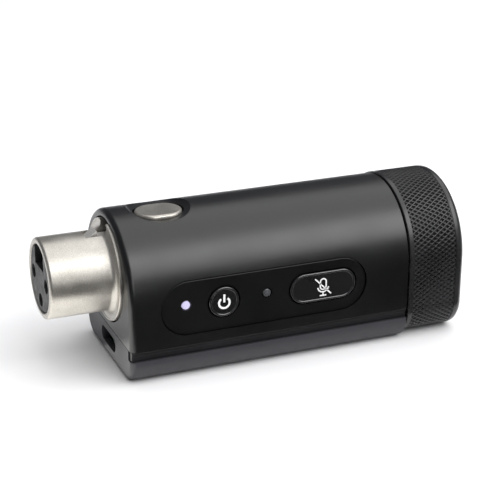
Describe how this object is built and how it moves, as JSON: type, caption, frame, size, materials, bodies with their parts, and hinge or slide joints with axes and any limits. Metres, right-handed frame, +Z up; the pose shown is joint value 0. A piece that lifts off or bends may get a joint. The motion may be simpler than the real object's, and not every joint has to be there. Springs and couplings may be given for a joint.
{
  "type": "plug-on wireless microphone transmitter",
  "caption": "Plug-on wireless microphone transmitter: latching three-pin audio socket, arch-shaped body with power and mute buttons, charging port and knurled antenna cap.",
  "frame": {"origin": "middle of the object's footprint, on the surface it stands on", "axes": "+X from the audio socket towards the knurled cap, +Z up through the release button, the control panel faces -Y"},
  "size_m": [0.0842, 0.0294, 0.0307],
  "materials": {
    "housing_coating": "satin soft-touch powder coat",
    "base_moulding": "fine matte texture",
    "tray_moulding": "matte black",
    "cap_moulding": "satin black with a diamond knurl",
    "satin_nickel": "satin nickel plate",
    "insert_moulding": "glass-filled black moulding",
    "contact_plating": "gold flash",
    "seal_rubber": "matte",
    "plated_steel": "zinc plate",
    "circuit_board": "solder mask",
    "latch_steel": "bright nickel plate",
    "panel_film": "matte black film",
    "button_moulding": "satin black with a white printed symbol",
    "light_pipe_lit": "clear, lit white",
    "light_pipe_dark": "smoked, unlit",
    "led_package": "phosphor",
    "cell_wrap": "shrink film",
    "connector_moulding": "natural nylon",
    "connector_black": "black nylon",
    "black_screw": "black oxide"
  },
  "bodies": {
    "body": {"upper_housing": "housing_coating", "base_cover": "base_moulding", "chassis_tray": "tray_moulding", "end_cap": "cap_moulding", "xlr_barrel": "satin_nickel", "xlr_insert": "insert_moulding", "xlr_contact_1": "contact_plating", "xlr_contact_2": "contact_plating", "xlr_contact_3": "contact_plating", "flange_gasket": "seal_rubber", "ground_washer": "plated_steel", "barrel_nut": "plated_steel", "connector_board": "circuit_board", "latch_pin": "plated_steel", "latch_spring": "plated_steel", "control_panel": "panel_film", "status_light_pipe": "light_pipe_lit", "status_led": "led_package", "mute_light_pipe": "light_pipe_dark", "mute_led": "led_package", "power_switch": "plated_steel", "mute_switch": "plated_steel", "control_board": "circuit_board", "control_board_screw_1": "plated_steel", "control_board_screw_2": "plated_steel", "main_board": "circuit_board", "rf_shield": "plated_steel", "battery_holder": "tray_moulding", "battery": "cell_wrap", "battery_connector": "connector_moulding", "antenna_board": "circuit_board", "usb_shell": "plated_steel", "usb_tongue": "insert_moulding", "usb_board": "circuit_board", "board_connector": "connector_black", "base_screw_1": "black_screw", "base_screw_2": "black_screw", "base_screw_3": "black_screw", "base_screw_4": "black_screw"},
    "release_button": {"release_button": "satin_nickel"},
    "latch_lever": {"latch_lever": "latch_steel"},
    "power_button": {"power_button": "button_moulding"},
    "mute_button": {"mute_button": "button_moulding"}
  },
  "joints": [
    {"name": "latch_swing", "type": "hinge", "parent": "body", "child": "latch_lever", "pos_m": [-0.00855, 0, 0.0252], "axis": [0, -1, 0], "range_deg": [0, 3.62], "deforming": ["latch_spring"]},
    {"name": "release_press", "type": "slide", "parent": "body", "child": "release_button", "axis": [0, 0, -1], "range_m": [0, 0.0006], "stiffness_N_per_m": 354, "springref_m": -0.00095},
    {"name": "power_press", "type": "slide", "parent": "body", "child": "power_button", "axis": [0, 1, 0], "range_m": [0, 0.0004], "stiffness_N_per_m": 1500, "springref_m": -0.0003},
    {"name": "mute_press", "type": "slide", "parent": "body", "child": "mute_button", "axis": [0, 1, 0], "range_m": [0, 0.0004], "stiffness_N_per_m": 1500, "springref_m": -0.0003}
  ],
  "couplings": [
    {"joint": "latch_swing", "follows": "release_press", "rad_per_m": 105.26}
  ]
}
